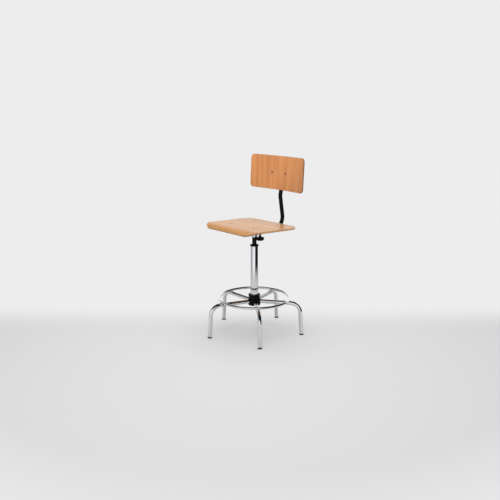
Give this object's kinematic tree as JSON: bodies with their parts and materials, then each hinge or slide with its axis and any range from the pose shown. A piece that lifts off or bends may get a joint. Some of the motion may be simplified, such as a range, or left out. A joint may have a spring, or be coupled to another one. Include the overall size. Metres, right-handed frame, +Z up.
{
  "type": "drafting chair",
  "caption": "Tall swivel work chair with a wooden seat and backrest, a gas lift column and a tubular base with a footrest ring.",
  "frame": {"origin": "on the floor, at the centre of the object's bounding box in plan; the column axis stands 29.4 mm from it along +X, because the five-legged base is not symmetric along X", "axes": "+Z up, the sitter faces -Y, the sitter's left is +X"},
  "size_m": [0.5841, 0.6128, 1.1195],
  "materials": {
    "seat_beech": "satin lacquered beech plywood",
    "back_beech": "satin lacquered beech plywood, warmer stain",
    "chrome": "polished chrome plate",
    "black_steel": "satin black enamel",
    "black_plastic": "fine-grained moulded plastic",
    "bush_plastic": "plain natural nylon",
    "zinc": "bright zinc plate",
    "brass": "turned brass"
  },
  "bodies": {
    "base": {"hub": "black_steel", "footrest_ring": "chrome", "column_tube": "chrome", "column_floor": "zinc", "bearing_lower_race": "zinc", "bearing_cage": "bush_plastic", "guide_bush": "black_plastic", "leg_1": "chrome", "leg_2": "chrome", "leg_3": "chrome", "leg_4": "chrome", "leg_5": "chrome", "glide_1": "black_plastic", "glide_2": "black_plastic", "glide_3": "black_plastic", "glide_4": "black_plastic", "glide_5": "black_plastic"},
    "spindle": {"piston_rod": "chrome", "bearing_upper_race": "zinc", "rod_clip": "zinc"},
    "seat_unit": {"seat_pan": "seat_beech", "mounting_plate": "black_steel", "seat_rivet_1": "zinc", "seat_rivet_2": "zinc", "seat_rivet_3": "zinc", "seat_rivet_4": "zinc", "gas_cylinder": "black_steel", "taper_socket": "zinc", "cheek_left": "black_steel", "cheek_right": "black_steel", "bar_sleeve": "black_steel", "clamp_nut": "black_steel", "lever_bracket": "black_steel", "lever_pin": "zinc"},
    "height_lever": {"lever_rod": "black_steel", "lever_grip": "black_plastic"},
    "valve_pin": {"valve_pin": "zinc"},
    "clamp_pad": {"clamp_pad": "brass"},
    "clamp_knob": {"clamp_knob": "black_plastic", "clamp_screw": "zinc"},
    "back_bar": {"back_bar": "black_steel", "bar_cap": "black_plastic", "pivot_bush": "bush_plastic"},
    "backrest": {"backrest_panel": "back_beech", "backrest_bracket": "black_steel", "pivot_bolt": "zinc", "pivot_nut": "zinc", "back_rivet_1": "zinc", "back_rivet_2": "zinc"}
  },
  "joints": [
    {"name": "swivel", "type": "hinge", "parent": "base", "child": "spindle", "pos_m": [0.02941, 0, 0.2], "axis": [0, 0, 1], "continuous": true},
    {"name": "lift", "type": "slide", "parent": "spindle", "child": "seat_unit", "axis": [0, 0, 1], "range_m": [-0.015, 0.185]},
    {"name": "bar_slide", "type": "slide", "parent": "seat_unit", "child": "back_bar", "axis": [0, 1, 0], "range_m": [0, 0.02]},
    {"name": "backrest_tilt", "type": "hinge", "parent": "back_bar", "child": "backrest", "pos_m": [0.02941, 0.23795, 1.00933], "axis": [1, 0, 0], "range_deg": [-12, 5]},
    {"name": "lever_lift", "type": "hinge", "parent": "seat_unit", "child": "height_lever", "pos_m": [-0.00659, 0, 0.671], "axis": [0, 1, 0], "range_deg": [0, 5], "stiffness_Nm_per_rad": 2, "springref_deg": -4.58},
    {"name": "valve_press", "type": "slide", "parent": "seat_unit", "child": "valve_pin", "axis": [0, 0, -1], "range_m": [0, 0.0033]},
    {"name": "clamp_travel", "type": "slide", "parent": "seat_unit", "child": "clamp_pad", "axis": [0, 0, 1], "range_m": [-0.00187, 0]},
    {"name": "clamp_turn", "type": "hinge", "parent": "clamp_pad", "child": "clamp_knob", "pos_m": [0.02941, 0.048, 0.61], "axis": [0, 0, 1], "range_deg": [-541, 0]}
  ],
  "couplings": [
    {"joint": "valve_press", "follows": "lever_lift", "m_per_rad": 0.037},
    {"joint": "clamp_turn", "follows": "clamp_travel", "rad_per_m": 5026.5}
  ]
}
